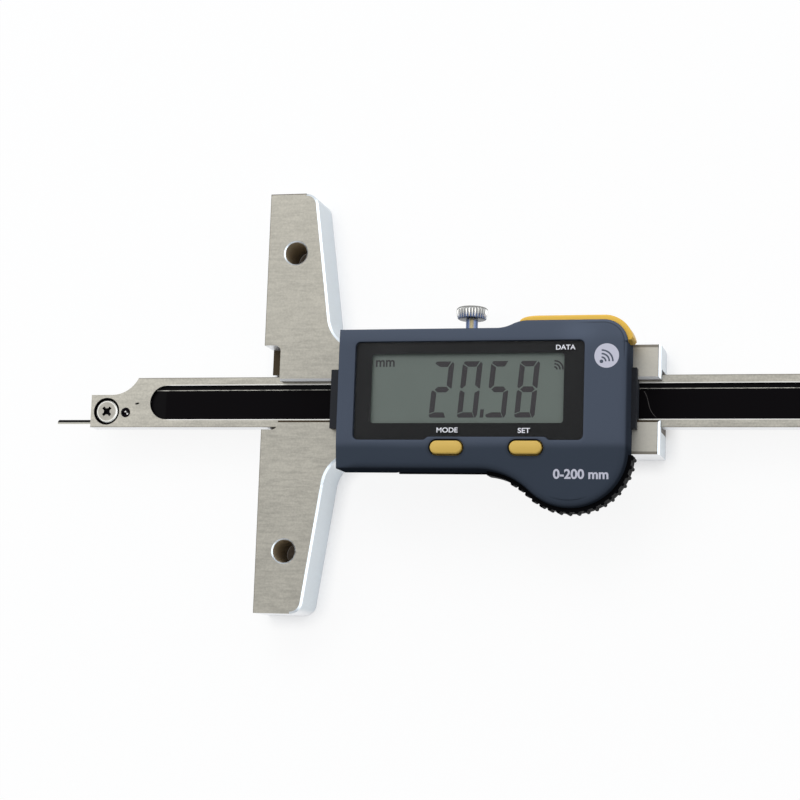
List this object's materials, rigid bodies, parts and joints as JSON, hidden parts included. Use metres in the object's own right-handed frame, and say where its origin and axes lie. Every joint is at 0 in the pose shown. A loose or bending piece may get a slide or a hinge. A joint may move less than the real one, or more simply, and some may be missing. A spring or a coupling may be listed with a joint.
{
  "type": "digital depth gauge",
  "caption": "Digital depth gauge: steel base with two wings, a sliding depth rod with needle, thumb lock screw and a sealed display housing with three keys.",
  "frame": {"origin": "on the measuring face, on the depth rod's centre line, in the plane of the gauge's back", "axes": "+X along the depth rod away from the workpiece, +Y along the measuring base, +Z out of the display"},
  "size_m": [0.3001, 0.1, 0.0219],
  "materials": {
    "steel_frame": "satin ground",
    "steel_rod": "satin ground",
    "bright_steel": "bright turned",
    "needle_steel": "hardened",
    "dark_screws": "black oxide",
    "spring_bronze": "rolled",
    "brass_pad": "turned",
    "scale_black": "gloss tape",
    "housing_blue": "fine moulded texture",
    "housing_black": "fine moulded texture",
    "seal_rubber": "moulded",
    "window_clear": "clear",
    "mask_black": "printed",
    "lcd_grey": "reflective display",
    "holder_plastic": "moulded",
    "zebra_rubber": "layered",
    "board_green": "solder mask",
    "chip_black": "moulded",
    "shield_tin": "tinned",
    "key_yellow": "satin",
    "band_yellow": "satin",
    "cell_steel": "nickel",
    "contact_gold": "gilt"
  },
  "bodies": {
    "frame": {"base_frame": "steel_frame", "back_plate": "steel_frame", "back_plate_screws": "dark_screws", "gib_spring": "spring_bronze", "front_cover": "housing_blue", "rear_shell": "housing_black", "housing_gasket": "seal_rubber", "shell_screws": "bright_steel", "cover_screws": "dark_screws", "display_window": "window_clear", "display_mask": "mask_black", "lcd_panel": "lcd_grey", "lcd_frame": "holder_plastic", "zebra_connectors": "zebra_rubber", "circuit_board": "board_green", "controller_chip": "chip_black", "radio_module": "shield_tin", "key_switches": "shield_tin", "data_switch": "shield_tin", "sensor_board": "board_green", "sensor_connector": "holder_plastic", "battery": "cell_steel", "battery_contacts": "contact_gold", "battery_hatch": "housing_black", "hatch_screw": "dark_screws", "left_wiper": "seal_rubber", "right_wiper": "seal_rubber"},
    "depth_rod": {"beam": "steel_rod", "scale_strip": "scale_black", "needle": "needle_steel", "needle_clamp_screw": "bright_steel", "grub_screw": "bright_steel", "end_stop": "steel_rod", "end_stop_screw": "dark_screws"},
    "clamp_pad": {"clamp_pad": "brass_pad"},
    "lock_screw": {"lock_screw": "bright_steel"},
    "mode_button": {"mode_button": "key_yellow"},
    "set_button": {"set_button": "key_yellow"},
    "data_key": {"data_key": "band_yellow"}
  },
  "joints": [
    {"name": "rod_slide", "type": "slide", "parent": "frame", "child": "depth_rod", "axis": [-1, 0, 0], "range_m": [-0.054, 0.146]},
    {"name": "clamp_feed", "type": "slide", "parent": "frame", "child": "clamp_pad", "axis": [0, -1, 0], "range_m": [-0.001, 0.00013]},
    {"name": "lock_screw_turn", "type": "hinge", "parent": "clamp_pad", "child": "lock_screw", "pos_m": [0.0491, 0.012, 0.00715], "axis": [0, -1, 0], "range_deg": [-720.57, 90.57]},
    {"name": "mode_press", "type": "slide", "parent": "frame", "child": "mode_button", "axis": [0, 0, -1], "range_m": [0, 0.0005], "stiffness_N_per_m": 3000},
    {"name": "set_press", "type": "slide", "parent": "frame", "child": "set_button", "axis": [0, 0, -1], "range_m": [0, 0.0005], "stiffness_N_per_m": 3000},
    {"name": "data_press", "type": "slide", "parent": "frame", "child": "data_key", "axis": [-0.7071, -0.7071, 0], "range_m": [0, 0.0004], "stiffness_N_per_m": 4000}
  ],
  "couplings": [
    {"joint": "lock_screw_turn", "follows": "clamp_feed", "rad_per_m": 12566}
  ]
}
